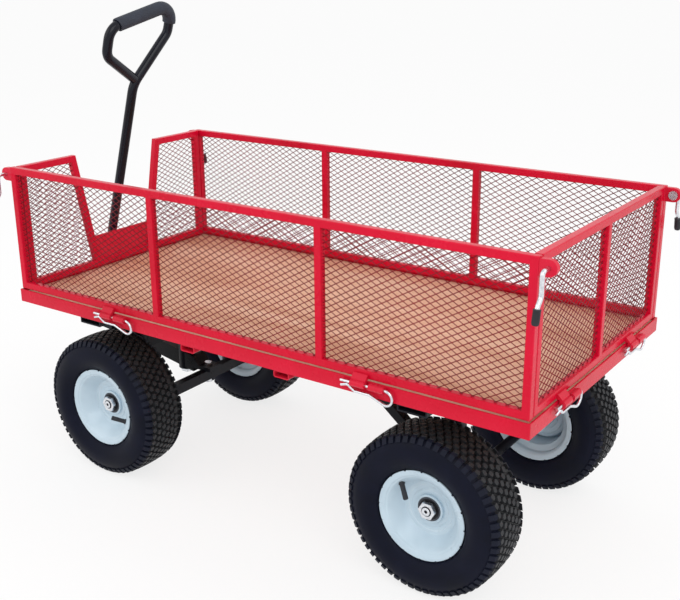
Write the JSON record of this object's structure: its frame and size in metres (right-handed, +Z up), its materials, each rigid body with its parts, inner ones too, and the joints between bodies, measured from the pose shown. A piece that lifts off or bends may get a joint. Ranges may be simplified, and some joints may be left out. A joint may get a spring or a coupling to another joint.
{
  "type": "garden trolley",
  "caption": "Flat-deck garden trolley with fold-down diamond-mesh sides, corner latches, broad pneumatic tyres, linkage-steered front wheels and a loop-handled drawbar.",
  "frame": {"origin": "on the ground below the centre of the deck", "axes": "+X forward towards the drawbar, +Y to the left, +Z up"},
  "size_m": [1.3776, 0.6848, 1.0137],
  "materials": {
    "red_paint": "gloss",
    "black_paint": "satin",
    "zinc": "bright",
    "plywood": "satin",
    "tyre_rubber": "matte",
    "rim_paint": "gloss",
    "black_rubber": "matte",
    "bearing_steel": "satin"
  },
  "bodies": {
    "chassis": {"deck_frame": "red_paint", "deck_board": "plywood", "deck_screws": "zinc", "cross_tubes": "red_paint", "front_bolster": "black_paint", "rear_bolster": "black_paint", "rear_axle": "black_paint", "rear_axle_nuts": "zinc", "rear_legs": "black_paint", "rear_braces": "black_paint", "front_beam": "black_paint", "front_posts": "black_paint", "king_bolt": "zinc", "frame_hinge_barrels": "red_paint", "spring_clips": "zinc", "front_panel_frame": "red_paint", "front_panel_mesh": "red_paint", "front_notch_plate": "red_paint"},
    "tongue": {"tongue": "black_paint", "drawbar_bolt": "zinc"},
    "tie_rod": {"tie_rod": "black_paint", "tie_rod_bolts": "zinc"},
    "left_knuckle": {"left_knuckle": "black_paint", "left_knuckle_nuts": "zinc"},
    "right_knuckle": {"right_knuckle": "black_paint", "right_knuckle_nuts": "zinc"},
    "drawbar": {"drawbar": "black_paint", "handle_grip": "black_rubber"},
    "left_panel": {"left_panel_frame": "red_paint", "left_panel_mesh": "red_paint", "left_latch_lugs": "red_paint"},
    "right_panel": {"right_panel_frame": "red_paint", "right_panel_mesh": "red_paint", "right_latch_lugs": "red_paint"},
    "rear_panel": {"rear_panel_frame": "red_paint", "rear_panel_mesh": "red_paint"},
    "front_left_wheel": {"front_left_tyre": "tyre_rubber", "front_left_rim": "rim_paint", "front_left_valve": "black_rubber", "front_left_bearings": "bearing_steel"},
    "front_right_wheel": {"front_right_tyre": "tyre_rubber", "front_right_rim": "rim_paint", "front_right_valve": "black_rubber", "front_right_bearings": "bearing_steel"},
    "rear_left_wheel": {"rear_left_tyre": "tyre_rubber", "rear_left_rim": "rim_paint", "rear_left_valve": "black_rubber", "rear_left_bearings": "bearing_steel"},
    "rear_right_wheel": {"rear_right_tyre": "tyre_rubber", "rear_right_rim": "rim_paint", "rear_right_valve": "black_rubber", "rear_right_bearings": "bearing_steel"},
    "left_front_latch": {"left_front_latch_rod": "zinc", "left_front_lever_grip": "black_rubber"},
    "left_rear_latch": {"left_rear_latch_rod": "zinc", "left_rear_lever_grip": "black_rubber"},
    "right_front_latch": {"right_front_latch_rod": "zinc", "right_front_lever_grip": "black_rubber"},
    "right_rear_latch": {"right_rear_latch_rod": "zinc", "right_rear_lever_grip": "black_rubber"}
  },
  "joints": [
    {"name": "tongue_steer", "type": "hinge", "parent": "chassis", "child": "tongue", "pos_m": [0.411, 0, 0.2], "axis": [0, 0, 1], "range_deg": [-20, 20]},
    {"name": "left_knuckle_steer", "type": "hinge", "parent": "chassis", "child": "left_knuckle", "pos_m": [0.411, 0.15, 0.2], "axis": [0, 0, 1], "range_deg": [-20, 20]},
    {"name": "right_knuckle_steer", "type": "hinge", "parent": "chassis", "child": "right_knuckle", "pos_m": [0.411, -0.15, 0.2], "axis": [0, 0, 1], "range_deg": [-20, 20]},
    {"name": "tie_rod_swing", "type": "hinge", "parent": "tongue", "child": "tie_rod", "pos_m": [0.345, 0, 0.16], "axis": [0, 0, 1], "range_deg": [-20, 20]},
    {"name": "drawbar_pitch", "type": "hinge", "parent": "tongue", "child": "drawbar", "pos_m": [0.7096, 0, 0.246], "axis": [0, 1, 0], "range_deg": [0, 122]},
    {"name": "left_panel_drop", "type": "hinge", "parent": "chassis", "child": "left_panel", "pos_m": [0, 0.3112, 0.4], "axis": [-1, 0, 0], "range_deg": [0, 165]},
    {"name": "right_panel_drop", "type": "hinge", "parent": "chassis", "child": "right_panel", "pos_m": [0, -0.3112, 0.4], "axis": [1, 0, 0], "range_deg": [0, 165]},
    {"name": "rear_panel_drop", "type": "hinge", "parent": "chassis", "child": "rear_panel", "pos_m": [-0.6272, 0, 0.4], "axis": [0, -1, 0], "range_deg": [0, 165]},
    {"name": "front_left_wheel_spin", "type": "hinge", "parent": "left_knuckle", "child": "front_left_wheel", "pos_m": [0.411, 0.235, 0.16], "axis": [0, 1, 0], "continuous": true},
    {"name": "front_right_wheel_spin", "type": "hinge", "parent": "right_knuckle", "child": "front_right_wheel", "pos_m": [0.411, -0.235, 0.16], "axis": [0, 1, 0], "continuous": true},
    {"name": "rear_left_wheel_spin", "type": "hinge", "parent": "chassis", "child": "rear_left_wheel", "pos_m": [-0.411, 0.235, 0.16], "axis": [0, 1, 0], "continuous": true},
    {"name": "rear_right_wheel_spin", "type": "hinge", "parent": "chassis", "child": "rear_right_wheel", "pos_m": [-0.411, -0.235, 0.16], "axis": [0, 1, 0], "continuous": true},
    {"name": "left_front_latch_slide", "type": "slide", "parent": "left_panel", "child": "left_front_latch", "axis": [0, -1, 0], "range_m": [0, 0.014]},
    {"name": "left_rear_latch_slide", "type": "slide", "parent": "left_panel", "child": "left_rear_latch", "axis": [0, -1, 0], "range_m": [0, 0.014]},
    {"name": "right_front_latch_slide", "type": "slide", "parent": "right_panel", "child": "right_front_latch", "axis": [0, 1, 0], "range_m": [0, 0.014]},
    {"name": "right_rear_latch_slide", "type": "slide", "parent": "right_panel", "child": "right_rear_latch", "axis": [0, 1, 0], "range_m": [0, 0.014]}
  ],
  "couplings": [
    {"joint": "left_knuckle_steer", "follows": "tongue_steer", "ratio": 1},
    {"joint": "right_knuckle_steer", "follows": "tongue_steer", "ratio": 1},
    {"joint": "tie_rod_swing", "follows": "tongue_steer", "ratio": -1}
  ]
}
